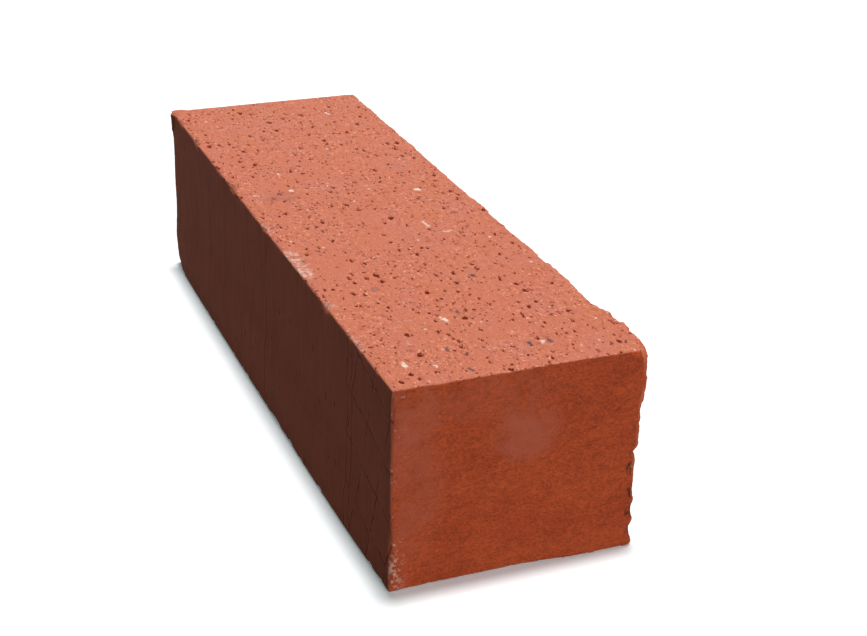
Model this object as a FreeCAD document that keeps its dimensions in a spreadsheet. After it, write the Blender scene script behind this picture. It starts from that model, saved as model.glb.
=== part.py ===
"""Solid extruded facing brick, in millimetres.

The clay column is squeezed up through a rectangular die, so the four upright faces carry the die's
skin and the four upright corners carry the die's corner radius. Taut wires slice the column into
bricks, so the upper and lower bed faces are cut faces with a finer arris. The brick has no frog and
no perforations.

+X runs along the length, +Y across the width and +Z up. The origin is the middle of the lower bed.
"""

import FreeCAD, Part
import Sketcher
import os

# Driving dimensions: alias, value in millimetres, what it is
SIZES = [
    ("brick_length", 290.0, "stretcher length, along X"),
    ("brick_width", 90.0, "bed width, along Y"),
    ("brick_height", 76.0, "course height less the mortar joint, along Z"),
    ("die_corner_radius", 1.6, "radius of the four upright corners, left by the die"),
    ("cut_arris_radius", 0.7, "radius of the arrises round both wire-cut beds"),
]
FLAT = 1e-6  # how nearly level or upright an edge has to be, in millimetres


def make_sizes(doc):
    """The spreadsheet that drives every feature."""
    sheet = doc.addObject("Spreadsheet::Sheet", "sizes")
    for row, (alias, value, meaning) in enumerate(SIZES, start=1):
        sheet.set(f"A{row}", alias)
        sheet.set(f"B{row}", str(value))
        sheet.set(f"C{row}", meaning)
        sheet.setAlias(f"B{row}", alias)
    doc.recompute()
    return sheet


def origin_plane(body, role):
    """One of the body's own origin planes, such as XY_Plane."""
    return next(item for item in body.Origin.OriginFeatures if item.Role == role)


def add_bed_outline(body):
    """The bed's rectangle on the XY plane, centred on the origin."""
    sketch = body.newObject("Sketcher::SketchObject", "bed_outline")
    sketch.AttachmentSupport = [(origin_plane(body, "XY_Plane"), "")]
    sketch.MapMode = "FlatFace"
    corners = [(-1, -1), (1, -1), (1, 1), (-1, 1)]
    points = [FreeCAD.Vector(x, y, 0) for x, y in corners]
    for start, end in zip(points, points[1:] + points[:1]):
        sketch.addGeometry(Part.LineSegment(start, end), False)
    for side in range(4):
        sketch.addConstraint(Sketcher.Constraint("Coincident", side, 2, (side + 1) % 4, 1))
    for side in (0, 2):
        sketch.addConstraint(Sketcher.Constraint("Horizontal", side))
    for side in (1, 3):
        sketch.addConstraint(Sketcher.Constraint("Vertical", side))
    sketch.addConstraint(Sketcher.Constraint("Symmetric", 0, 1, 1, 2, -1, 1))
    length = sketch.addConstraint(Sketcher.Constraint("DistanceX", 0, 1, 0, 2, 2))
    width = sketch.addConstraint(Sketcher.Constraint("DistanceY", 1, 1, 1, 2, 2))
    sketch.setExpression(f"Constraints[{length}]", "sizes.brick_length")
    sketch.setExpression(f"Constraints[{width}]", "sizes.brick_width")
    return sketch


def edges_where(feature, wanted):
    """The names of a feature's edges whose bounding box passes the test."""
    edges = enumerate(feature.Shape.Edges, start=1)
    return [f"Edge{number}" for number, edge in edges if wanted(edge.BoundBox)]


def add_fillet(doc, body, name, base, edge_names, radius_alias):
    """Rounds the named edges of a feature to a radius from the sheet."""
    fillet = body.newObject("PartDesign::Fillet", name)
    fillet.Base = (base, edge_names)
    fillet.setExpression("Radius", f"sizes.{radius_alias}")
    doc.recompute()
    return fillet


def make_brick(doc):
    """One fired clay block: outline, height, die corners, then the cut arrises."""
    body = doc.addObject("PartDesign::Body", "brick")
    body.Label = "brick"

    column = body.newObject("PartDesign::Pad", "column")
    column.Profile = add_bed_outline(body)
    column.setExpression("Length", "sizes.brick_height")
    doc.recompute()

    upright = edges_where(column, lambda box: box.XLength < FLAT and box.YLength < FLAT)
    corners = add_fillet(doc, body, "die_corners", column, upright, "die_corner_radius")

    level = edges_where(corners, lambda box: box.ZLength < FLAT)
    add_fillet(doc, body, "cut_arrises", corners, level, "cut_arris_radius")
    body.Placement = FreeCAD.Placement()
    return body


def check(doc, bodies):
    """Stops the build if a feature failed or a sub-part is not one valid solid."""
    for item in doc.Objects:
        if "Invalid" in item.State or "Error" in item.State:
            raise RuntimeError(f"{item.Name} failed: {item.State}")
    for body in bodies:
        shape = body.Shape
        if shape.isNull() or not shape.isValid() or len(shape.Solids) != 1:
            raise RuntimeError(f"{body.Label} is not one valid solid")


def main():
    doc = FreeCAD.newDocument("facing_brick")
    make_sizes(doc)
    bodies = [make_brick(doc)]
    doc.recompute()
    check(doc, bodies)
    os.makedirs("parts", exist_ok=True)
    for body in bodies:
        body.Shape.exportStep(f"parts/{body.Label}.step")
        box = body.Shape.optimalBoundingBox()
        sides = f"{box.XLength:.2f} x {box.YLength:.2f} x {box.ZLength:.2f} mm"
        print(f"{body.Label}: {sides}, {body.Shape.Volume / 1000:.1f} cm3")


main()
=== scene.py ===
# %% [markdown]
# # A solid extruded facing brick
#
# A brick like this starts as a stiff column of red clay, squeezed up through a steel die. The die
# smooths the four upright sides into a skin. Taut wires then slice the column, so the two beds are
# cut faces: paler, open, and pitted where the wire tears grit out of the clay. One long side is
# torn on purpose, to look rugged in a wall.
#
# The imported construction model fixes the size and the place. It is loaded first and never moved.

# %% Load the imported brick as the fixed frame
import math

import bmesh
import bpy
import numpy as np
from mathutils import Matrix, Vector


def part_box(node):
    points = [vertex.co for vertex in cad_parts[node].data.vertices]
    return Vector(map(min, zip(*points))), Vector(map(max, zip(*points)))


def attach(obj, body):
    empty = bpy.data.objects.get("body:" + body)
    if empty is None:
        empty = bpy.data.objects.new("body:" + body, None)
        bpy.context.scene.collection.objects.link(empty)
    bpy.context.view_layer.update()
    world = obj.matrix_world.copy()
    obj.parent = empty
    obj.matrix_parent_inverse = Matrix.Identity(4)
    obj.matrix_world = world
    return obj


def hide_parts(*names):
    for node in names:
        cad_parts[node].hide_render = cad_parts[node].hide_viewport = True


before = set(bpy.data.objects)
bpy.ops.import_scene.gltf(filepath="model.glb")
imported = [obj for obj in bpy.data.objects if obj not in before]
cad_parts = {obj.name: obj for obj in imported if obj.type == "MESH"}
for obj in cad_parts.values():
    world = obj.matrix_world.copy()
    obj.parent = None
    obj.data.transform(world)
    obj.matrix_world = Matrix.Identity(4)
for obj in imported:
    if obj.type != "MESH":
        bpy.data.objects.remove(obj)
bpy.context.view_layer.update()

MM = 0.001  # Blender works in metres here; the brick's own details are easier to read in millimetres
low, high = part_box("brick")
middle = (low + high) / 2
half = (high - low) / 2 / MM
print("brick", [round(2 * side, 2) for side in half], "mm, a fired clay block")

# %% [markdown]
# ## The clay block
#
# Everything that shows on a brick is relief in one lump of clay, so the piece is one block. It
# could be sculpted by hand, but a net that is fine enough to be pushed in and out by formulas can
# be changed later. An operator makes a cube, it is scaled to the block, and each direction is then
# cut into steps of about half a millimetre, which is fine enough for all but the smallest pits.

# %% Cut a cube into a fine net
NET_STEP = (0.5, 0.5, 0.7)  # mm along the length, the width and the height


def clay_net():
    net = bmesh.new()
    bmesh.ops.create_cube(net, size=1.0)
    bmesh.ops.scale(net, vec=high - low, verts=net.verts)
    bmesh.ops.translate(net, vec=middle, verts=net.verts)
    for axis, step in enumerate(NET_STEP):
        along = [edge for edge in net.edges if runs_along(edge, axis)]
        cuts = round(2 * half[axis] / step) - 1
        bmesh.ops.subdivide_edges(net, edges=along, cuts=cuts, use_grid_fill=True)
    return net


def runs_along(edge, axis):
    span = edge.verts[1].co - edge.verts[0].co
    return abs(span[axis]) > 0.99 * span.length


net = clay_net()
clay_mesh = bpy.data.meshes.new("clay_block")
net.to_mesh(clay_mesh)
net.free()
brick = bpy.data.objects.new("clay_block", clay_mesh)
bpy.context.scene.collection.objects.link(brick)
print("net of", len(clay_mesh.polygons), "faces")

# %% [markdown]
# ## Formulas as nodes
#
# The relief and the colour of clay belong together: a pit is both a hole and a dark spot, whose dark is
# partly its clay and partly painted shade. Blender has the same noise, cell and maths nodes for geometry
# and for shading, so one small helper writes a formula into either kind of tree, and a pit drawn by both
# lands in the same place.

# %% A helper that writes formulas into a node tree


class Formulas:
    """Adds nodes to a geometry or a shader tree; a value may be a number or another node's socket."""

    def __init__(self, tree):
        self.tree = tree
        self.count = 0

    def add(self, kind, values, **settings):
        node = self.tree.nodes.new(kind)
        node.location = (180 * (self.count // 12), -220 * (self.count % 12))
        self.count += 1
        for name, setting in settings.items():
            setattr(node, name, setting)
        for socket, value in values.items():
            if isinstance(value, bpy.types.NodeSocket):
                self.tree.links.new(value, node.inputs[socket])
            else:
                node.inputs[socket].default_value = value
        return node

    def math(self, operation, *values, clamp=False):
        node = self.add("ShaderNodeMath", dict(enumerate(values)), operation=operation, use_clamp=clamp)
        return node.outputs[0]

    def vector(self, operation, *values):
        node = self.add("ShaderNodeVectorMath", dict(enumerate(values)), operation=operation)
        return node.outputs["Value" if operation in ("LENGTH", "DISTANCE") else "Vector"]

    def lengthen(self, vector, factor):
        node = self.add("ShaderNodeVectorMath", {0: vector, "Scale": factor}, operation="SCALE")
        return node.outputs["Vector"]

    def split(self, vector):
        return self.add("ShaderNodeSeparateXYZ", {0: vector}).outputs[:]

    def join(self, x, y, z):
        return self.add("ShaderNodeCombineXYZ", {0: x, 1: y, 2: z}).outputs[0]

    def fade(self, value, start, end, top=1.0):
        """0 up to start, rising smoothly to top at end; start may be the larger one."""
        sockets = {"Value": value, "From Min": start, "From Max": end, "To Max": top}
        return self.add("ShaderNodeMapRange", sockets, interpolation_type="SMOOTHSTEP").outputs["Result"]

    def total(self, *values):
        result = values[0]
        for value in values[1:]:
            result = self.math("ADD", result, value)
        return result

    def product(self, *values):
        result = values[0]
        for value in values[1:]:
            result = self.math("MULTIPLY", result, value)
        return result

    def noise(self, place, size, stretch=(1, 1, 1), shift=0.0, detail=2.0, roughness=0.5):
        """Cloudy values from about -1 to 1; size is the breadth of a cloud in millimetres.

        shift picks another stretch of the same noise, so that effects needn't share their clouds.
        """
        spread = [1 / (size * s) for s in stretch]
        moved = self.add("ShaderNodeVectorMath", {0: place, 1: spread, 2: (shift, shift, shift)},
                         operation="MULTIPLY_ADD").outputs["Vector"]
        values = {"Vector": moved, "Scale": 1.0, "Detail": detail, "Roughness": roughness}
        cloud = self.add("ShaderNodeTexNoise", values).outputs[0]
        return self.math("MULTIPLY_ADD", cloud, 3.0, -1.5)

    def wander(self, place, size, reach, shift=0.0):
        """The place, moved about by up to reach millimetres, which makes round shapes ragged."""
        values = {"Vector": place, "Scale": 1 / size, "Detail": 2.0}
        cloud = self.add("ShaderNodeTexNoise", values).outputs["Color"]
        centred = self.vector("SUBTRACT", cloud, (0.5, 0.5, 0.5))
        moved = self.lengthen(centred, 3.0 * reach)
        return self.vector("ADD", moved, self.vector("ADD", place, (shift, shift, shift)))

    def grains(self, place, spacing):
        """Scattered grains: the distance to the nearest one in millimetres, and three random values."""
        cells = self.add("ShaderNodeTexVoronoi", {"Vector": place, "Scale": 1 / spacing})
        distance = self.math("MULTIPLY", cells.outputs["Distance"], spacing)
        return distance, self.split(cells.outputs["Color"])

    def spots(self, place, marks, ragged):
        """The strongest of some marks put down one by one: (centre, reach each way, strength)."""
        place = self.wander(place, 2.2, ragged)
        result = 0.0
        for centre, reach, strength in marks:
            offset = self.vector("SUBTRACT", place, centre)
            distance = self.vector("LENGTH", self.vector("DIVIDE", offset, reach))
            result = self.math("MAXIMUM", result, self.fade(distance, 1.0, 0.45, strength))
        return result


# %% [markdown]
# ## Which face is which
#
# The wire-cut beds, the die's smooth skin and the torn stretcher each have their own relief and
# colour. All three are picked out by the place on the block before any relief, measured in
# millimetres from its middle. That place is stored on the mesh, so that the paint can read it too.
#
# The beds face up and down. The head at +X is called the near one here, the smooth stretcher faces
# -Y and the torn one faces +Y.

# %% Masks for the cut beds and the torn stretcher


def bed_mask(f, place, soft):
    """1 on the two wire-cut beds and 0 on the sides, with a slightly ragged border on the arris."""
    z = f.split(place)[2]
    ragged = f.math("MULTIPLY", f.noise(place, 1.6, shift=3.1), 0.35)
    return f.fade(f.total(f.math("ABSOLUTE", z), ragged), half.z - soft, half.z - 0.3 * soft)


def side_mask(f, coordinate, limit, soft):
    """1 where a coordinate has reached a side of the block, fading over soft millimetres."""
    return f.fade(coordinate, limit - soft, limit - 0.1 * soft)


# %% [markdown]
# ## Pits where the wire tore grit out
#
# A pit is about 1 to 3 mm across and a little over half a millimetre deep. Scattering hundreds of
# small shapes and cutting them out would work, but slowly. Scattered cells do it in one formula:
# each cell has a random value that says whether it holds a pit and how wide it is. Moving the place
# about a little makes the rim ragged, and a fine noise tears it. A slow cloud gathers the pits.

# %% One formula for the pits, used by the relief and by the paint


def pits(f, place, spacing, radius, share, shift):
    """1 in the middle of each pit and 0 outside; share is how many of the cells hold one."""
    ragged = f.wander(f.wander(place, 1.8, 0.85 * radius, shift), 0.6, 0.65 * radius)
    distance, (chance, width, _) = f.grains(ragged, spacing)
    gathered = f.math("MULTIPLY_ADD", f.noise(place, 13.0, shift=shift), 0.38, share)
    present = f.math("LESS_THAN", chance, gathered)
    rim = f.math("MULTIPLY_ADD", width, 0.9 * radius, 0.45 * radius)
    torn = f.math("MULTIPLY_ADD", f.noise(place, 0.8, shift=shift, detail=3.0, roughness=0.7), 0.5, 1.02)
    hollow = f.math("SUBTRACT", torn, f.math("DIVIDE", distance, rim), clamp=True)
    return f.math("MULTIPLY", f.fade(hollow, 0.0, 0.45), present)


DRAWN_OUT = (0.6, 1.0, 1.0)  # shrinks the length, so that marks come out longer that way


def bed_pits(f, place):
    place = f.vector("MULTIPLY", place, DRAWN_OUT)
    large = pits(f, place, 4.2, 0.90, 0.56, 40.0)
    small = pits(f, place, 2.3, 0.62, 0.36, 17.0)
    return large, small


# %% [markdown]
# ## The relief
#
# Geometry nodes push the net about. First every point is pulled onto a rounded block, which makes
# the arrises: the cut ones are finer than the upright ones that the die leaves, and a cloud makes
# their rounding uneven, which reads as small chips. Then the point moves along the face's own
# direction by that face's relief.

# %% Sizes of the relief, in millimetres
BED_ARRIS = 0.5
DIE_CORNER = 1.3
PIT_DEPTH = 0.65
CHIPS = [  # knocked off the arrises one by one: place from the middle, reach each way, depth
    ((-144.0, -45.0, 34.0), (3.0, 3.0, 5.0), 2.4),
    ((-128.0, -45.0, 38.0), (5.0, 4.0, 3.0), 2.0),
    ((-100.0, -45.0, 38.0), (4.5, 4.0, 3.0), 2.2),
    ((-41.0, -45.0, 38.0), (6.0, 4.0, 3.5), 2.4),
    ((5.0, -45.0, 38.0), (4.0, 4.0, 3.0), 1.8),
    ((79.0, -45.0, 38.0), (4.5, 4.0, 3.5), 2.2),
    ((112.0, -45.0, 38.0), (2.5, 3.0, 3.0), 1.1),
    ((145.0, -28.0, 38.0), (2.0, 3.0, 2.0), 0.9),
    ((145.0, -6.0, 38.0), (2.0, 3.0, 2.0), 0.9),
    ((40.0, -45.0, -38.0), (3.5, 2.5, 2.5), 1.2),
    ((128.0, -45.0, -38.0), (3.0, 2.5, 2.5), 1.0),
    ((145.0, 45.0, 38.0), (8.0, 7.0, 6.0), 2.4),
    ((-145.0, -45.0, -38.0), (14.0, 10.0, 17.0), 6.0),
]
SKIN_SWELL = [  # where the skin stands proud: a burr at the far corner, a long low belly, a near foot
    ((-147.0, -45.0, 37.0), (9.0, 9.0, 12.0), 1.3),
    ((-15.0, -45.0, -34.0), (190.0, 12.0, 36.0), 1.6),
    ((145.0, 45.0, -38.0), (14.0, 44.0, 30.0), 2.4),
]
TORN_BITES = [  # clay torn out beside the near upright arris of the rough stretcher
    ((146.0, 45.0, -2.5), (4.5, 4.0, 2.6), 1.1),
    ((146.0, 45.0, -8.0), (2.8, 5.5, 3.6), 1.7),
    ((146.0, 45.0, -16.5), (2.6, 5.0, 4.8), 1.8),
    ((146.0, 45.0, -24.0), (2.8, 5.5, 4.6), 1.9),
    ((146.0, 45.0, -31.5), (2.6, 5.0, 4.2), 2.0),
]
TORN_SWELL = [  # where the rough stretcher stands proud
    ((70.0, 45.0, 36.0), (30.0, 9.0, 18.0), 0.9),
    ((20.0, 45.0, 36.0), (25.0, 9.0, 18.0), 0.6),
]

# %% [markdown]
# ### The arrises
#
# An arris is the edge between two faces. Bevelling it would give the same rounding all along, but a
# real one is worn, torn and chipped. So each point is pulled onto a block whose rounding has a
# radius of its own at every place: its nearest point on a smaller inner block, plus that radius.

# %% Round off the arrises


def arris_radius(f, place):
    """How far the arris is rounded off here: the plain rounding, then wear, tearing and chips."""
    _, y, z = f.split(place)
    upright = f.fade(f.math("ABSOLUTE", z), half.z - 1.0, half.z - 4.0, DIE_CORNER - BED_ARRIS)
    worn = f.math("MULTIPLY", f.fade(f.noise(place, 4.0, shift=9.0), 0.15, 1.1), 1.3)
    long_worn = f.math("MULTIPLY", f.fade(f.noise(place, 14.0, (1, 3, 3), shift=10.0), -0.2, 0.9),
                       f.fade(y, 3.0 - half.y, -half.y, 2.2))
    rugged = f.math("MULTIPLY", side_mask(f, y, half.y, 6.0), 0.9)
    chipped = f.spots(place, CHIPS, 1.2)
    return f.total(BED_ARRIS, upright, worn, long_worn, rugged, chipped)


def rounded_block(f, place, radius):
    """Where the point lies on the rounded block, and the direction that it faces there."""
    corner = f.vector("SUBTRACT", tuple(half), f.join(radius, radius, radius))
    inner = f.vector("MINIMUM", f.vector("MAXIMUM", place, f.lengthen(corner, -1.0)), corner)
    facing = f.vector("NORMALIZE", f.vector("SUBTRACT", place, inner))
    return f.vector("ADD", inner, f.lengthen(facing, radius)), facing


# %% [markdown]
# ### The faces
#
# The beds get pits and a shallow tear. The die's skin is nearly flat, with a slow swell. The torn
# stretcher is the rugged one: long waves, short ledges, sharp steps and crumbs, each a noise of its
# own size, set back a little so that not much of it stands past the block's plane.

# %% Relief of the cut beds, the die skin and the torn stretcher


def bed_relief(f, place):
    large, small = bed_pits(f, place)
    swell = f.math("MULTIPLY", f.noise(place, 28.0, shift=5.0), 0.12)
    tear = f.math("MULTIPLY", f.noise(place, 3.0, shift=6.0, detail=3.0), 0.07)
    hollow = f.math("MULTIPLY", f.math("MAXIMUM", large, f.math("MULTIPLY", small, 0.6)), -PIT_DEPTH)
    return f.total(swell, tear, hollow, -0.12)


def skin_relief(f, place):
    swell = f.math("MULTIPLY", f.noise(place, 30.0, shift=7.0), 0.15)
    peel = f.math("MULTIPLY", f.noise(place, 2.6, (1.6, 1.6, 0.8), shift=8.0), 0.05)
    bites = f.math("MULTIPLY", f.spots(place, TORN_BITES, 0.8), -0.5)
    return f.total(swell, peel, bites, f.spots(place, SKIN_SWELL, 1.0), -0.12)


def torn_relief(f, place):
    waves = f.math("MULTIPLY", f.noise(place, 42.0, (1, 1, 0.8), shift=11.0), 0.75)
    torn = f.wander(place, 9.0, 3.0, 12.0)
    ledges = f.math("MULTIPLY", f.noise(torn, 5.5, (1.4, 1, 0.6), detail=4.0), 0.65)
    steps = f.fade(f.noise(torn, 9.5, (1.3, 1, 0.7), shift=13.0), -0.06, 0.06, 1.1)
    crumbs = f.math("MULTIPLY", f.noise(place, 1.8, shift=14.0, detail=3.0), 0.30)
    bites = f.math("MULTIPLY", f.spots(place, TORN_BITES, 0.8), -1.0)
    x, _, z = f.split(f.wander(place, 2.0, 0.5))
    upper_ledge = f.fade(z, 16.9, 17.4, 0.9)
    lower_ledge = f.fade(z, -2.5, 1.0, 0.9)
    drawn_in_foot = f.fade(z, -24.0, -37.0, -1.6)
    stepped = f.total(upper_ledge, lower_ledge, drawn_in_foot, 1.3)
    beside_head = f.product(f.fade(x, half.x - 45.0, half.x - 18.0), stepped)
    calmer = f.math("ADD", f.fade(x, half.x - 3.0, half.x - 16.0, 0.75), 0.25)
    rough = f.product(calmer, f.total(waves, ledges, steps))
    return f.total(rough, crumbs, bites, beside_head, f.spots(place, TORN_SWELL, 1.0), -1.3)


# %% [markdown]
# ### The modifier
#
# The formulas go into one geometry node tree. It first stores each point's place, then moves the
# point, and never lets it go below the bed that the brick rests on. Where a face bends into the
# next one, the squares of its direction share out the relief between them.

# %% Build the geometry nodes
PLACE = "clay_place"  # millimetres from the block's middle, before any relief
RECESS = "torn_recess"  # how far the torn stretcher lies behind its plane, in millimetres


def relief_nodes():
    tree = bpy.data.node_groups.new("clay_relief", "GeometryNodeTree")
    tree.interface.new_socket("Geometry", in_out="INPUT", socket_type="NodeSocketGeometry")
    tree.interface.new_socket("Geometry", in_out="OUTPUT", socket_type="NodeSocketGeometry")
    f = Formulas(tree)
    source = f.add("NodeGroupInput", {})
    position = f.add("GeometryNodeInputPosition", {}).outputs[0]
    centred = f.lengthen(f.vector("SUBTRACT", position, tuple(middle)), 1 / MM)
    stored = f.add("GeometryNodeStoreNamedAttribute", {"Geometry": source.outputs[0], "Name": PLACE,
                   "Value": centred}, data_type="FLOAT_VECTOR", domain="POINT")
    place = f.add("GeometryNodeInputNamedAttribute", {"Name": PLACE}, data_type="FLOAT_VECTOR").outputs[0]
    surface, facing = rounded_block(f, place, arris_radius(f, place))
    _, y, z = f.split(facing)
    on_bed = f.math("MULTIPLY", z, z)
    on_torn = f.math("MULTIPLY", f.math("MAXIMUM", y, 0.0), f.math("MAXIMUM", y, 0.0))
    on_skin = f.math("SUBTRACT", f.math("SUBTRACT", 1.0, on_bed), on_torn)
    torn = f.product(on_torn, torn_relief(f, place))
    bed = f.product(on_bed, bed_relief(f, place))
    skin = f.product(on_skin, skin_relief(f, place))
    height = f.total(bed, skin, torn)
    moved = f.vector("ADD", surface, f.lengthen(facing, height))
    metres = f.vector("ADD", f.lengthen(moved, MM), tuple(middle))
    x, y, z = f.split(metres)
    grounded = f.join(x, y, f.math("MAXIMUM", z, low.z))
    recess = f.add("GeometryNodeStoreNamedAttribute", {"Geometry": stored.outputs[0], "Name": RECESS,
                   "Value": f.math("MULTIPLY", torn, -1.0)}, data_type="FLOAT", domain="POINT")
    shaped = f.add("GeometryNodeSetPosition", {"Geometry": recess.outputs[0], "Position": grounded})
    f.add("NodeGroupOutput", {0: shaped.outputs[0]})
    return tree


relief = brick.modifiers.new("relief", "NODES")
relief.node_group = relief_nodes()
print("relief of", len(relief.node_group.nodes), "nodes")

# %% [markdown]
# ## Fewer triangles
#
# The net is as fine on the plain stretches as at a pit. The Decimate modifier folds edges together
# where the surface is nearly flat, and leaves the small triangles where there is something to show.

# %% Thin the net and keep the result
MOST_TRIANGLES = 190_000


def settle(piece):
    triangles = 2 * len(piece.data.polygons)
    thin = piece.modifiers.new("thin", "DECIMATE")
    thin.ratio = min(1.0, MOST_TRIANGLES / triangles)
    graph = bpy.context.evaluated_depsgraph_get()
    finished = bpy.data.meshes.new_from_object(piece.evaluated_get(graph), preserve_all_data_layers=True,
                                               depsgraph=graph)
    piece.modifiers.clear()
    piece.data = finished
    finished.polygons.foreach_set("use_smooth", [True] * len(finished.polygons))
    return finished


clay_mesh = settle(brick)
print("kept", sum(len(face.vertices) - 2 for face in clay_mesh.polygons), "triangles")

# %% [markdown]
# ## Unwrapping
#
# A brick unwraps like a box: six sides laid out flat with gaps between them, all to one scale.
# Blender's own unwrapping would cut the torn side into many scraps, so the layout is written down:
# the beds and the stretchers lie above each other, and the two heads beside them.

# %% Lay the six sides out flat
LAYOUT_GAP = 6.0  # mm between two sides
LAYOUT = {  # for each side, as axis and direction: the axes across and up, and which way across runs
    (2, 1): (0, 1, 1),
    (2, -1): (0, 1, -1),
    (1, -1): (0, 2, 1),
    (1, 1): (0, 2, -1),
    (0, 1): (1, 2, 1),
    (0, -1): (1, 2, -1),
}


def read(source, field, width, kind):
    values = np.zeros(len(source) * width, dtype=kind)
    source.foreach_get(field, values)
    return values


def lay_flat(mesh):
    place = read(mesh.attributes[PLACE].data, "vector", 3, np.float32).reshape(-1, 3)
    at_corner = place[read(mesh.loops, "vertex_index", 1, np.int32)]
    corners = read(mesh.polygons, "loop_total", 1, np.int32)
    starts = read(mesh.polygons, "loop_start", 1, np.int32)
    centre = np.add.reduceat(at_corner, starts, axis=0) / corners[:, None]
    axis = (np.array(half) - np.abs(centre)).argmin(axis=1)
    towards = np.sign(np.take_along_axis(centre, axis[:, None], axis=1))[:, 0]
    axis = np.repeat(axis, corners)
    towards = np.repeat(towards, corners)
    flat = np.zeros((len(at_corner), 2))
    column = [0.0, 0.0]
    for (side, direction), (across, up, runs) in LAYOUT.items():
        here = (axis == side) & (towards == direction)
        shelf = int(side == 0)
        left = shelf * (2 * half.x + LAYOUT_GAP)
        flat[here, 0] = left + half[across] + runs * at_corner[here, across]
        flat[here, 1] = column[shelf] + half[up] + at_corner[here, up]
        column[shelf] += 2 * half[up] + LAYOUT_GAP
    flat = (flat + LAYOUT_GAP / 2) / (2 * half.x + 2 * half.y + 2 * LAYOUT_GAP)
    mesh.uv_layers.new(name="OFBake").data.foreach_set("uv", flat.ravel())
    return flat


flat = lay_flat(clay_mesh)
print("layout from", flat.min(axis=0).round(3), "to", flat.max(axis=0).round(3))

# %% [markdown]
# ## The fired clay
#
# One material covers the block, as one clay does. Its colour is built up in layers: the body of
# the cut beds, the deeper skin that the die leaves, pits and hollows darkened with painted shade,
# grit, a whitish bloom of salts and a few marks of handling.

# %% Colours of the clay, as linear red, green and blue
CUT_SALMON = (0.665, 0.202, 0.118)
CUT_PINK = (0.655, 0.212, 0.142)
CUT_ORANGE = (0.68, 0.203, 0.098)
SKIN_RED = (0.505, 0.085, 0.027)
SKIN_DARK = (0.435, 0.068, 0.022)
# The smooth stretcher's skin: paler and less red than the heads', partly a bloom and partly a painted cool
# tint of the shade it lies in
SIDE_SKIN_AND_PAINTED_COOL_SHADE = (0.46, 0.128, 0.070)
SIDE_DARK_AND_PAINTED_COOL_SHADE = (0.43, 0.116, 0.063)
TORN_BODY = (0.58, 0.155, 0.080)
# a deep brown: painted shade in the pits and torn hollows, and the burnt dashes and scores
DEEP_BROWN_FOR_SHADE_AND_BURNS = (0.17, 0.020, 0.007)
BITE_SHADOW = (0.06, 0.013, 0.007)
# a duller red: dull crumbs of clay, and painted shade round the rims of the pits
DULL_CLAY_AND_RIM_SHADE = (0.44, 0.095, 0.050)
PEACH_SPECK = (1.0, 0.50, 0.32)
CREAM_GRIT = (1.0, 0.76, 0.60)
BLUE_GRIT = (0.13, 0.075, 0.095)
BRUISE = (0.46, 0.150, 0.115)
BLOOM = (0.53, 0.124, 0.068)
SALT = (0.86, 0.52, 0.42)
SCRATCH_PALE = (0.95, 0.52, 0.42)

# %% Paint helpers


def blend(f, amount, under, over, kind="MIX"):
    """Lays one colour over another by amount; the colours may be fixed or from other nodes."""
    mix = f.add("ShaderNodeMix", {"Factor": amount}, data_type="RGBA", blend_type=kind)
    for socket, colour in ((mix.inputs[6], under), (mix.inputs[7], over)):
        if isinstance(colour, bpy.types.NodeSocket):
            f.tree.links.new(colour, socket)
        else:
            socket.default_value = (*colour, 1.0)
    return mix.outputs[2]


def shade(f, colour, amount):
    """Makes a colour lighter or darker by a share that varies, such as 0.1 for a tenth lighter."""
    factor = f.math("ADD", amount, 1.0)
    return blend(f, 1.0, colour, f.join(factor, factor, factor), "MULTIPLY")


# %% [markdown]
# ### Cut beds
#
# The wire opens the body of the clay, so its grain shows: fine light and dark crumbs, peach specks
# of soft shale, and harder grit that fires cream or blue-grey. Clouds of noise give the crumbs and
# scattered cells give the specks. The grit that shows most is put down stone by stone.

# %% Grain and grit of the cut beds
CREAM_STONES = [
    ((-120.0, 23.0, 38.0), (2.1, 0.8, 9.0), 1.0),
    ((-50.0, -22.0, 38.0), (1.6, 0.8, 9.0), 1.0),
    ((-30.0, -23.0, 38.0), (2.2, 1.0, 9.0), 1.0),
    ((-15.0, 27.0, 38.0), (2.4, 1.8, 9.0), 1.0),
    ((21.0, 16.0, 38.0), (4.8, 1.1, 9.0), 0.7),
    ((30.0, 21.0, 38.0), (1.3, 3.2, 9.0), 0.5),
    ((103.0, -10.0, 38.0), (3.8, 1.0, 9.0), 1.0),
    ((129.0, 14.5, 38.0), (2.2, 0.8, 9.0), 0.9),
    ((130.0, -35.0, 38.0), (2.9, 1.1, 9.0), 1.0),
    ((134.0, -26.0, 38.0), (1.9, 1.1, 9.0), 1.0),
]
BLUE_STONES = [
    ((33.0, -32.0, 38.0), (1.8, 1.0, 9.0), 0.8),
    ((72.0, 14.0, 38.0), (2.1, 1.2, 9.0), 0.8),
    ((72.0, -24.0, 38.0), (2.6, 1.9, 9.0), 0.35),
    ((99.0, -3.5, 38.0), (1.9, 1.0, 9.0), 0.8),
    ((124.5, -18.0, 38.0), (2.1, 1.2, 9.0), 0.8),
    ((129.0, 10.0, 38.0), (2.6, 1.3, 9.0), 1.0),
    ((129.0, 17.0, 38.0), (2.4, 1.3, 9.0), 0.8),
    ((140.0, -16.0, 38.0), (1.9, 1.0, 9.0), 0.9),
]


def scattered(f, place, spacing, radius, share, shift):
    """1 on scattered grains of about this radius, and a random value for each one."""
    distance, (chance, width, other) = f.grains(f.wander(place, 0.9, 0.75 * radius, shift), spacing)
    reach = f.math("MULTIPLY_ADD", width, radius, 0.4 * radius)
    inside = f.fade(f.math("DIVIDE", distance, reach), 1.0, 0.5)
    return f.math("MULTIPLY", inside, f.math("LESS_THAN", chance, share)), other


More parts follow.
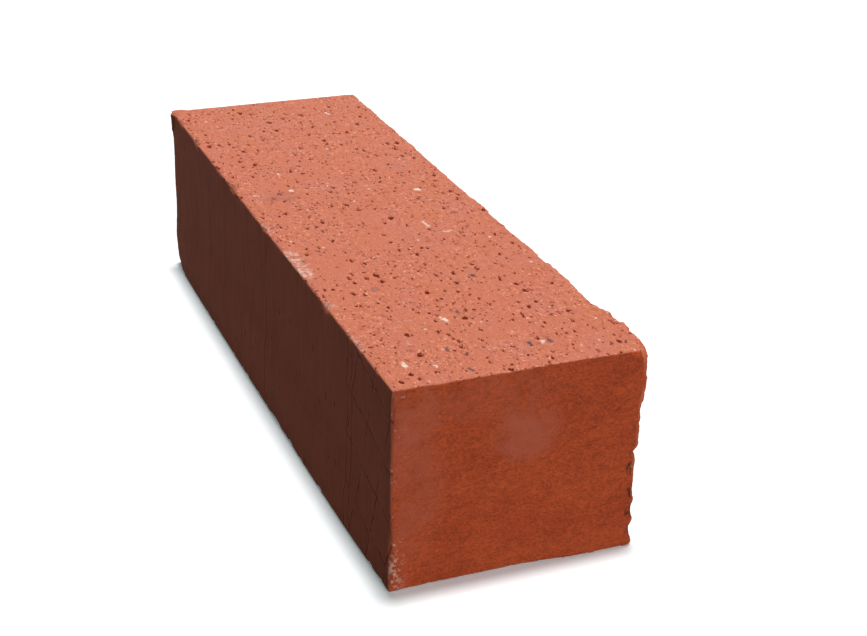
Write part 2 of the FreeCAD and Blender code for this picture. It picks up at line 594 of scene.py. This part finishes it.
def bed_colour(f, place):
    pinker = f.fade(f.noise(place, 20.0, shift=21.0), -0.1, 0.9)
    colour = blend(f, pinker, CUT_SALMON, CUT_PINK)
    warmer = f.fade(f.noise(place, 9.0, shift=22.0), 0.1, 1.0)
    colour = blend(f, warmer, colour, CUT_ORANGE)
    open_grain = f.math("ADD", f.fade(f.noise(place, 11.0, (1.4, 1, 1), shift=28.0), -0.5, 0.45, 0.9), 0.35)
    crumbs = f.noise(place, 2.0, (1.5, 1, 1), shift=23.0, detail=4.0, roughness=0.65)
    crumbs = f.product(crumbs, open_grain, 0.26)
    dust = f.math("MULTIPLY", f.noise(place, 0.7, shift=24.0), 0.17)
    colour = shade(f, colour, f.total(crumbs, dust))
    pale = f.noise(f.wander(place, 1.2, 0.4), 1.1, (1.3, 1, 1), shift=26.0, detail=3.0, roughness=0.65)
    colour = blend(f, f.product(f.fade(pale, 0.24, 0.60, 0.9), open_grain), colour, PEACH_SPECK)
    dull = f.noise(f.wander(place, 1.2, 0.4), 1.7, (1.5, 1, 1), shift=27.0, detail=3.0, roughness=0.65)
    colour = blend(f, f.product(f.fade(dull, 0.20, 0.60, 0.85), open_grain), colour, DULL_CLAY_AND_RIM_SHADE)
    peach, other = scattered(f, place, 2.0, 0.42, 0.30, 25.0)
    colour = blend(f, f.product(peach, other, 0.9), colour, PEACH_SPECK)
    # The pits are painted dark: partly their clay, partly painted shade, a dull rim round a deep brown
    # middle. The tiny ones have no hollow in the relief.
    large, small = bed_pits(f, place)
    tiny = pits(f, f.vector("MULTIPLY", place, DRAWN_OUT), 1.2, 0.40, 0.26, 31.0)
    dark = f.math("MAXIMUM", f.math("MAXIMUM", large, f.math("MULTIPLY", small, 0.95)),
                  f.math("MULTIPLY", tiny, 0.75))
    colour = blend(f, f.fade(dark, 0.0, 0.35), colour, DULL_CLAY_AND_RIM_SHADE)
    colour = blend(f, f.fade(dark, 0.2, 0.9), colour, DEEP_BROWN_FOR_SHADE_AND_BURNS)
    grit, tint = scattered(f, place, 5.2, 0.62, 0.42, 33.0)
    stone = blend(f, f.math("GREATER_THAN", tint, 0.68), CREAM_GRIT, BLUE_GRIT)
    colour = blend(f, f.math("MULTIPLY", grit, 0.75), colour, stone)
    colour = blend(f, f.spots(place, BLUE_STONES, 1.0), colour, BLUE_GRIT)
    crumbly = f.fade(f.noise(place, 1.2, shift=34.0), -0.7, 0.0)
    return blend(f, f.product(f.spots(place, CREAM_STONES, 1.2), crumbly), colour, CREAM_GRIT)


# %% [markdown]
# ### Marks on the upper bed
#
# Something hard was dragged across the bed: it left a pale line, and beside it a bruise, where
# the surface was rubbed greyish. Salts carried out by water have dried white along one arris.

# %% The scratch, the bruise and the salts
SCRATCH = [
    ((-30.3, -16.0, 38.0), (0.7, 9.5, 9.0), 0.8),
    ((-29.5, -2.0, 38.0), (0.5, 4.0, 9.0), 0.35),
    ((-28.5, -38.0, 38.0), (1.6, 4.0, 9.0), 0.7),
]
BRUISE_PATCH = [((-24.0, -29.0, 38.0), (6.5, 9.5, 9.0), 0.75)]
SALTY_ARRIS = [
    ((6.0, -45.0, 38.0), (7.0, 3.5, 9.0), 0.6),
    ((37.0, -43.5, 38.0), (10.0, 5.0, 9.0), 1.0),
    ((49.0, -43.0, 38.0), (9.0, 4.5, 9.0), 1.0),
    ((79.0, -44.5, 38.0), (4.0, 3.5, 9.0), 0.8),
    ((110.0, -44.5, 38.0), (8.0, 3.0, 9.0), 0.5),
]


def bed_marks(f, place, colour):
    broken = f.fade(f.noise(place, 1.5, shift=61.0), -0.5, 0.5)
    rubbed = f.fade(f.noise(place, 2.2, (1, 3, 1), shift=62.0), -0.6, 0.5)
    colour = blend(f, f.product(f.spots(place, BRUISE_PATCH, 2.5), rubbed), colour, BRUISE)
    colour = blend(f, f.product(f.spots(place, SCRATCH, 0.5), broken), colour, SCRATCH_PALE)
    return blend(f, f.product(f.spots(place, SALTY_ARRIS, 2.0), broken), colour, SALT)


# %% [markdown]
# ### Die skin
#
# The die drags the clay's face smooth and brings fine clay to it, so the skin fires deeper and more
# even. On the heads it has short level ripples. On the smooth stretcher it has long upright streaks,
# and near one end a lattice of faint scores from the belt that carried the soft brick.

# %% Ripples of the heads and streaks of the smooth stretcher


def head_ripples(f, place):
    bowed = f.wander(place, 9.0, 1.0)
    long = f.noise(bowed, 2.4, (1, 1.8, 0.7), shift=42.0, detail=4.0, roughness=0.65)
    short = f.noise(bowed, 0.8, (1, 1.5, 0.9), shift=43.0, detail=3.0)
    return f.total(f.math("MULTIPLY", long, 0.7), f.math("MULTIPLY", short, 1.0))


def stretcher_streaks(f, place):
    fine = f.noise(place, 1.1, (1, 1, 22), shift=44.0)
    broad = f.noise(place, 6.0, (1, 1, 9), shift=45.0)
    return f.total(f.math("MULTIPLY", fine, 0.5), f.math("MULTIPLY", broad, 0.5))


# %% Scores of the smooth stretcher
SCORE_SPACING = (19.0, 16.0)  # mm between the slanted lines, and between the steep ones
SCORE_START = (10.0, 119.0)  # mm from the middle to the first line of each set
UPRIGHT_SCORES = (7.0, 103.0, 107.5)  # mm along the brick from the middle


def scores(f, place):
    """1 along the lines scored in the smooth stretcher."""
    x, _, z = f.split(f.wander(place, 12.0, 1.4))
    slanted = f.math("SUBTRACT", f.math("MULTIPLY_ADD", x, 0.28, z), SCORE_START[0])
    steep = f.math("SUBTRACT", f.math("MULTIPLY_ADD", z, -0.29, x), SCORE_START[1])
    slanted = f.math("PINGPONG", slanted, SCORE_SPACING[0] / 2)
    steep = f.math("PINGPONG", steep, SCORE_SPACING[1] / 2)
    lattice = f.math("MAXIMUM", f.fade(slanted, 0.8, 0.2), f.fade(steep, 0.6, 0.15))
    near_end = f.fade(x, 100.0, 106.0)
    broken = f.fade(f.noise(place, 9.0, shift=47.0), -0.45, 0.25)
    result = f.product(lattice, near_end, broken)
    for upright in UPRIGHT_SCORES:
        line = f.fade(f.math("ABSOLUTE", f.math("SUBTRACT", x, upright)), 0.6, 0.1)
        result = f.math("MAXIMUM", result, f.math("MULTIPLY", line, 0.8))
    return result


def stretcher_mask(f, place):
    """1 on the smooth stretcher, and 0 on the heads and on the torn one."""
    y = f.split(place)[1]
    return side_mask(f, f.math("MULTIPLY", y, -1.0), half.y, 0.9)


# %% [markdown]
# ### Colour of the skin
#
# The heads and the smooth stretcher share their slow clouds of darker clay. Over those the heads
# have ripples painted as light and shade, a foot painted lighter as if lit from the floor,
# freckles and a bloom, where salts have dried as a whitish haze. The stretcher has its streaks,
# the scores and short burnt dashes, colours that are partly a bloom and partly a painted cool tint
# of shade, and it grows darker towards the far head. One mask chooses between the two.

# %% Colour of the heads and of the smooth stretcher
BLOOM_PATCHES = [  # whitish clouds of salts on the near head: centre, reach, strength
    ((145.0, 3.0, 14.0), (14.0, 15.0, 14.0), 0.85),
    ((145.0, -9.0, 29.0), (14.0, 30.0, 12.0), 0.35),
    ((145.0, -41.0, 27.0), (14.0, 16.0, 17.0), 0.9),
    ((145.0, -41.0, 0.0), (14.0, 18.0, 34.0), 0.55),
]


def skin_colour(f, place):
    x, _, z = f.split(place)
    darker = f.fade(f.noise(place, 15.0, (1, 1, 0.7), shift=41.0), -0.7, 0.7)
    colour = blend(f, darker, SKIN_RED, SKIN_DARK)
    # Painted light and shade on the heads: the ripples are shaded into the colour as well as bumped, and
    # the foot is painted lighter, as light thrown up from the floor would make it.
    painted_bounce_at_foot = f.fade(z, 34.0, -38.0, 0.10)
    colour = shade(f, colour, f.math("MULTIPLY_ADD", head_ripples(f, place), 0.42, painted_bounce_at_foot))
    patchy = f.fade(f.noise(place, 7.0, shift=48.0), -1.0, 0.5)
    colour = blend(f, f.product(f.spots(place, BLOOM_PATCHES, 2.0), patchy), colour, BLOOM)
    freckles, other = scattered(f, place, 4.0, 0.30, 0.12, 49.0)
    colour = blend(f, f.product(freckles, other, 0.8), colour, PEACH_SPECK)
    burnt, other = scattered(f, place, 4.6, 0.5, 0.22, 50.0)
    colour = blend(f, f.product(burnt, other, 0.6), colour, DEEP_BROWN_FOR_SHADE_AND_BURNS)
    # besides the streaks, the stretcher is made darker towards the far head
    streaks = f.math("MULTIPLY_ADD", stretcher_streaks(f, place), 0.30, f.fade(x, 80.0, -half.x, -0.15))
    # the stretcher's colours carry a painted cool tint of shade over the skin
    side = shade(f, blend(f, darker, SIDE_SKIN_AND_PAINTED_COOL_SHADE, SIDE_DARK_AND_PAINTED_COOL_SHADE), streaks)
    side = blend(f, f.math("MULTIPLY", scores(f, place), 0.9), side, DEEP_BROWN_FOR_SHADE_AND_BURNS)
    dashes, other = scattered(f, f.vector("MULTIPLY", place, (1, 1, 0.3)), 3.4, 0.5, 0.35, 51.0)
    side = blend(f, f.math("MULTIPLY", dashes, 0.85), side, DEEP_BROWN_FOR_SHADE_AND_BURNS)
    return blend(f, stretcher_mask(f, place), colour, side)


# %% [markdown]
# ### Salts on the upright arris
#
# Water dries first at an edge, so salts gather along the near head's arris, and most near its foot.
# Noise decides where: the share that gets past a threshold grows towards the foot.

# %% Salts along the upright arris of the near head


def arris_salts(f, place, colour):
    x, y, z = f.split(place)
    beside = f.product(f.fade(y, 7.0 - half.y, 0.5 - half.y), side_mask(f, x, half.x, 1.2))
    lower = f.fade(z, -8.0, -32.0)
    grains = f.noise(place, 1.3, shift=63.0, detail=3.0)
    cloud = f.noise(place, 7.0, shift=64.0)
    amount = f.total(grains, f.math("MULTIPLY", cloud, 0.6), f.math("MULTIPLY", lower, 0.35), -0.45)
    return blend(f, f.product(beside, f.fade(amount, 0.0, 0.35), 0.75), colour, SALT)


# %% [markdown]
# ### Torn stretcher
#
# Tearing opens the clay as the wire does, but deeper. The recess that the relief stored on the mesh
# paints shade into the hollows, which makes them look as deep as they are, and the grit shows here too.

# %% Colour of the torn stretcher


def torn_colour(f, place):
    crumbs = f.noise(place, 1.6, shift=71.0, detail=4.0, roughness=0.65)
    patches = f.noise(place, 11.0, shift=72.0)
    colour = shade(f, blend(f, f.fade(patches, -0.6, 0.8), TORN_BODY, SKIN_RED),
                   f.math("MULTIPLY", crumbs, 0.22))
    recess = f.add("ShaderNodeAttribute", {}, attribute_name=RECESS).outputs["Fac"]
    # painted shade in the hollows, darker where the recess is deeper
    colour = blend(f, f.math("MULTIPLY", f.fade(recess, 0.9, 2.6), 0.75), colour, DEEP_BROWN_FOR_SHADE_AND_BURNS)
    peach, other = scattered(f, place, 2.4, 0.5, 0.35, 73.0)
    colour = blend(f, f.product(peach, other, 0.6), colour, PEACH_SPECK)
    grit, tint = scattered(f, place, 6.5, 0.8, 0.5, 74.0)
    stone = blend(f, f.math("GREATER_THAN", tint, 0.5), CREAM_GRIT, BLUE_GRIT)
    return blend(f, f.math("MULTIPLY", grit, 0.7), colour, stone)


# %% [markdown]
# ### Bump
#
# Grain that is finer than the net is left to a Bump node, which tilts the light on the surface
# without moving it. Its height is in millimetres, like the relief.

# %% Fine grain as bump


def mixed(f, amount, under, over):
    """Goes from one value to another by amount."""
    return f.add("ShaderNodeMix", {"Factor": amount, "A": under, "B": over}, data_type="FLOAT").outputs[0]


def fine_height(f, place, on_bed, on_torn):
    grain = f.math("MULTIPLY", f.noise(place, 0.9, shift=81.0, detail=3.0, roughness=0.6), 0.09)
    ripples = f.math("MULTIPLY", head_ripples(f, place), 0.18)
    grooves = f.total(f.math("MULTIPLY", stretcher_streaks(f, place), 0.06),
                      f.math("MULTIPLY", scores(f, place), -0.18))
    smooth = mixed(f, stretcher_mask(f, place), ripples, grooves)
    return mixed(f, f.math("MAXIMUM", on_bed, on_torn), smooth, grain)


# %% [markdown]
# ### One material from all the layers
#
# The masks put the layers together: skin first, the torn stretcher over it, and the beds over both.
# Fired clay is matt, so the roughness is high and the specular level is low. Both are the same all
# over, so they are set on the shader's own sockets.

# %% Build the material
CLAY_ROUGHNESS = 0.85
CLAY_SPECULAR = 0.15


def fired_clay():
    material = bpy.data.materials.new("fired_clay")
    material.use_nodes = True
    tree = material.node_tree
    surface = tree.nodes["Principled BSDF"]
    f = Formulas(tree)
    place = f.add("ShaderNodeAttribute", {}, attribute_name=PLACE).outputs["Vector"]
    y = f.split(place)[1]
    on_bed = bed_mask(f, place, 0.9)
    ragged = f.math("MULTIPLY", f.noise(place, 3.0, shift=32.0), 0.6)
    on_torn = side_mask(f, f.total(y, ragged), half.y, 1.0)
    colour = blend(f, on_torn, arris_salts(f, place, skin_colour(f, place)), torn_colour(f, place))
    colour = blend(f, on_bed, colour, bed_marks(f, place, bed_colour(f, place)))
    crumbled = f.fade(f.noise(place, 1.1, (1, 1, 1.6), shift=75.0), -0.5, 0.3)
    colour = blend(f, f.product(f.spots(place, TORN_BITES, 0.8), crumbled, 0.6), colour, BITE_SHADOW)
    tree.links.new(colour, surface.inputs["Base Color"])
    relief = f.add("ShaderNodeBump", {"Height": fine_height(f, place, on_bed, on_torn), "Strength": 1.0,
                   "Distance": MM})
    tree.links.new(relief.outputs[0], surface.inputs["Normal"])
    surface.inputs["Roughness"].default_value = CLAY_ROUGHNESS
    surface.inputs["Specular IOR Level"].default_value = CLAY_SPECULAR
    return material


clay = fired_clay()
clay_mesh.materials.append(clay)
print("clay material of", len(clay.node_tree.nodes), "nodes")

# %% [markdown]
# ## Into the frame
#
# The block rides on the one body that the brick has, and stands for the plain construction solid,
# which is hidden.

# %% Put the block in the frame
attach(brick, "root")
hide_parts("brick")
print(brick.name, "stands for the plain brick")

# %% [markdown]
# ## Floor and light
#
# A plain white floor shows the brick as it is, and keeps the shadow. To anything but the camera and
# reflections the floor is dark, so it doesn't throw so much light back up that the shaded stretcher
# goes pale. A Light Path node tells the two apart.

# %% The floor
FLOOR_REACH = 8.0  # metres from side to side
FLOOR_WHITE = (1.0, 1.0, 1.0, 1.0)
FLOOR_GLOW = (0.155, 0.19, 0.195, 1.0)  # added where a background is seen; cool, against the red bounce
FLOOR_BOUNCE = (0.09, 0.085, 0.08, 1.0)


def seen_directly(tree):
    """1 for camera, glossy and transmission rays, which are the ones that show a background."""
    path = tree.nodes.new("ShaderNodeLightPath")
    f = Formulas(tree)
    rays = [path.outputs[name] for name in ("Is Camera Ray", "Is Glossy Ray", "Is Transmission Ray")]
    return f.math("MAXIMUM", f.math("MAXIMUM", rays[0], rays[1]), rays[2])


def floor_paint():
    material = bpy.data.materials.new("floor_paint")
    material.use_nodes = True
    tree = material.node_tree
    tree.nodes.remove(tree.nodes["Principled BSDF"])
    lit = tree.nodes.new("ShaderNodeBsdfDiffuse")
    lit.inputs["Color"].default_value = FLOOR_WHITE
    glow = tree.nodes.new("ShaderNodeEmission")
    glow.inputs["Color"].default_value = FLOOR_GLOW
    shown = tree.nodes.new("ShaderNodeAddShader")
    tree.links.new(lit.outputs[0], shown.inputs[0])
    tree.links.new(glow.outputs[0], shown.inputs[1])
    hidden = tree.nodes.new("ShaderNodeBsdfDiffuse")
    hidden.inputs["Color"].default_value = FLOOR_BOUNCE
    either = tree.nodes.new("ShaderNodeMixShader")
    tree.links.new(seen_directly(tree), either.inputs[0])
    tree.links.new(hidden.outputs[0], either.inputs[1])
    tree.links.new(shown.outputs[0], either.inputs[2])
    tree.links.new(either.outputs[0], tree.nodes["Material Output"].inputs["Surface"])
    return material


sheet = bmesh.new()
bmesh.ops.create_grid(sheet, x_segments=1, y_segments=1, size=FLOOR_REACH / 2)
bmesh.ops.translate(sheet, vec=(0, 0, low.z), verts=sheet.verts)
floor_mesh = bpy.data.meshes.new("floor")
sheet.to_mesh(floor_mesh)
sheet.free()
floor_mesh.materials.append(floor_paint())
floor = bpy.data.objects.new("floor", floor_mesh)
bpy.context.scene.collection.objects.link(floor)
print("floor at", round(low.z, 4), "m")

# %% [markdown]
# ### Lamps and sky
#
# A broad light from almost straight above makes the beds the lightest faces and gives a soft, short
# shadow all round. A small softbox beyond the near head brings out its red, and two large weak ones
# keep the far head and the torn stretcher readable. The smooth stretcher is left in the shade.
# The softboxes could be written out one by one, but a list shows at a glance how they differ.

# %% The lamps
SUN_STRENGTH = 0.80 * math.pi  # a white floor facing it then renders at 0.80
SUN_BREADTH = math.radians(7)
KEY_TILT_ACROSS = math.radians(3)
KEY_TILT_BACK = math.radians(5)
SOFTBOXES = [  # name, strength in watts, side in metres, place, and what it points at
    ("front_softbox", 3.4, 0.3, (0.9, 0.10, 0.12), (high.x, 0, low.z)),
    ("rear_softbox", 2.0, 0.6, (-0.95, 0.25, 0.35), (low.x, 0, middle.z)),
    ("side_softbox", 1.6, 0.6, (0.0, 0.95, 0.2), (0, high.y, middle.z)),
]


def lamp(name, kind, strength, **settings):
    light = bpy.data.lights.new(name, kind)
    light.energy = strength
    for setting, value in settings.items():
        setattr(light, setting, value)
    holder = bpy.data.objects.new(name, light)
    bpy.context.scene.collection.objects.link(holder)
    return holder


def point_at(holder, place, target):
    holder.location = place
    holder.rotation_mode = "QUATERNION"
    holder.rotation_quaternion = (Vector(target) - Vector(place)).to_track_quat("-Z", "Y")


overhead = lamp("overhead", "SUN", SUN_STRENGTH, angle=SUN_BREADTH)
point_at(overhead, (-math.tan(KEY_TILT_BACK), math.tan(KEY_TILT_ACROSS), 1.0), (0, 0, 0))
for name, watts, size, place, target in SOFTBOXES:
    softbox = lamp(name, "AREA", watts, shape="SQUARE", size=size)
    point_at(softbox, place, target)
    softbox.visible_camera = False
    print(name, watts, "W")

# %% The sky
ROOM_TINT = (0.9, 0.96, 1.0, 1.0)
ROOM_STRENGTH = 0.06

world = bpy.data.worlds.new("pale_room")
bpy.context.scene.world = world
world.use_nodes = True
sky = world.node_tree
room_light = sky.nodes["Background"]
room_light.inputs["Color"].default_value = ROOM_TINT
room_light.inputs["Strength"].default_value = ROOM_STRENGTH
backdrop = sky.nodes.new("ShaderNodeBackground")
backdrop.inputs["Color"].default_value = (1, 1, 1, 1)
either = sky.nodes.new("ShaderNodeMixShader")
sky.links.new(seen_directly(sky), either.inputs[0])
sky.links.new(room_light.outputs[0], either.inputs[1])
sky.links.new(backdrop.outputs[0], either.inputs[2])
sky.links.new(either.outputs[0], sky.nodes["World Output"].inputs["Surface"])
print("sky of", ROOM_STRENGTH, "to the clay, white behind it")

# %% [markdown]
# ## The camera
#
# It looks down the length of the brick from beyond its near head, turned so that the near head,
# the smooth stretcher and the upper bed all show.

# %% Set up the camera
CAMERA_AZIMUTH = math.radians(67.32)
CAMERA_HEIGHT = math.radians(25.53)
CAMERA_ROLL = math.radians(1.59)
CAMERA_DISTANCE = 0.6441  # metres
CAMERA_AIM = Vector((13.48, 23.34, 30.79)) * MM
CAMERA_LENS = 65.68  # mm
SENSOR_WIDTH = 36  # mm
NEAREST_SEEN = 0.01  # metres


def set_camera():
    flat = math.cos(CAMERA_HEIGHT)
    back = Vector((math.sin(CAMERA_AZIMUTH) * flat,
                   -math.cos(CAMERA_AZIMUTH) * flat,
                   math.sin(CAMERA_HEIGHT)))
    right = Vector((math.cos(CAMERA_AZIMUTH), math.sin(CAMERA_AZIMUTH), 0))
    level = Matrix((right, back.cross(right), back)).transposed()
    camera = bpy.data.objects.new("camera", bpy.data.cameras.new("camera"))
    camera.data.lens = CAMERA_LENS
    camera.data.sensor_width = SENSOR_WIDTH
    camera.rotation_mode = "QUATERNION"
    camera.rotation_quaternion = (level @ Matrix.Rotation(CAMERA_ROLL, 3, "Z")).to_quaternion()
    camera.location = CAMERA_AIM + back * CAMERA_DISTANCE
    camera.data.clip_start = NEAREST_SEEN
    bpy.context.scene.collection.objects.link(camera)
    bpy.context.scene.camera = camera
    return camera


camera = set_camera()
bpy.context.scene.view_settings.view_transform = "Standard"
print("camera at", [round(value, 3) for value in camera.location], "m")
